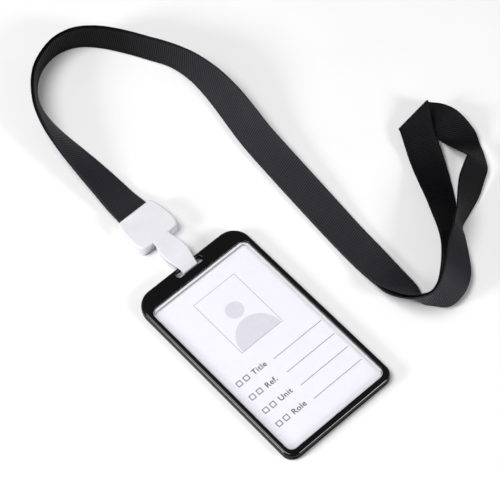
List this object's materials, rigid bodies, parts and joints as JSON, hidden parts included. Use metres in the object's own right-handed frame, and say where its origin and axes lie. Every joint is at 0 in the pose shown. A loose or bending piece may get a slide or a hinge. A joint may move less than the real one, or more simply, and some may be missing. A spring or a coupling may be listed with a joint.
{
  "type": "badge lanyard",
  "caption": "Flat woven neck lanyard with a white plastic snap-hook clip and a black-framed slide-in card holder with a clear window and a printed form card.",
  "frame": {"origin": "centre of the card holder's rear face", "axes": "+X across the holder, +Y along the holder towards the clip, +Z out of the window, up from the surface the holder lies on"},
  "size_m": [0.1681, 0.2258, 0.0164],
  "materials": {
    "holder_black": "gloss",
    "clear_acrylic": "clear gloss",
    "card_white": "matte card",
    "clip_white": "satin",
    "ribbon_black": "ribbed woven polyester"
  },
  "bodies": {
    "clip": {"clip_front_shell": "clip_white", "clip_rear_shell": "clip_white", "neck_ribbon": "ribbon_black"},
    "holder": {"front_bezel": "holder_black", "rear_tray": "holder_black", "clear_window": "clear_acrylic"},
    "gate": {"clip_gate": "clip_white"},
    "card": {"id_card": "card_white"}
  },
  "joints": [
    {"name": "badge_swing", "type": "hinge", "parent": "clip", "child": "holder", "pos_m": [0, 0.04922, 0.0028], "axis": [-1, 0, 0], "range_deg": [-100, 110]},
    {"name": "gate_flex", "type": "hinge", "parent": "clip", "child": "gate", "pos_m": [0, 0.067, 0.0015], "axis": [-1, 0, 0], "range_deg": [0, 7.5], "stiffness_Nm_per_rad": 0.03},
    {"name": "card_slide", "type": "slide", "parent": "holder", "child": "card", "axis": [0, -1, 0], "range_m": [0, 0.088]}
  ]
}
